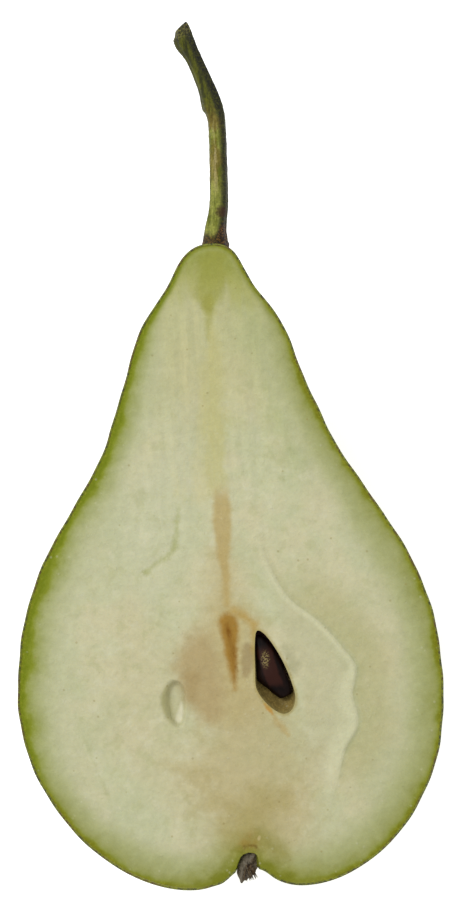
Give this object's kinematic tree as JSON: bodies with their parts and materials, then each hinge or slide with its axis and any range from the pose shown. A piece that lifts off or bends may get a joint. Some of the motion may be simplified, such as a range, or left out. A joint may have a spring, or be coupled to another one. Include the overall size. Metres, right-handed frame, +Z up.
{
  "type": "pear half",
  "caption": "Pear cut lengthwise, lying on its rounded back with the cut face up: flesh and skin, a curved stem, a seed in its open locule and a dried calyx.",
  "frame": {"origin": "centre of the bottom of the part's box: the table under the flattened spot's level, midway along and across the pear half with its stem", "axes": "+Y along the fruit from the calyx towards the stem, +X to the right across the cut face as it is looked down on, +Z up out of the cut face"},
  "size_m": [0.065, 0.1322, 0.0333],
  "materials": {
    "flesh": "satin",
    "skin": "satin",
    "stem": "matte",
    "seed": "gloss",
    "calyx": "matte"
  },
  "bodies": {
    "root": {"pear_half": "flesh", "stem": "stem", "seed": "seed", "sepal_left": "calyx", "sepal_right": "calyx", "sepal_back": "calyx", "stamen_tuft": "calyx"}
  },
  "joints": []
}
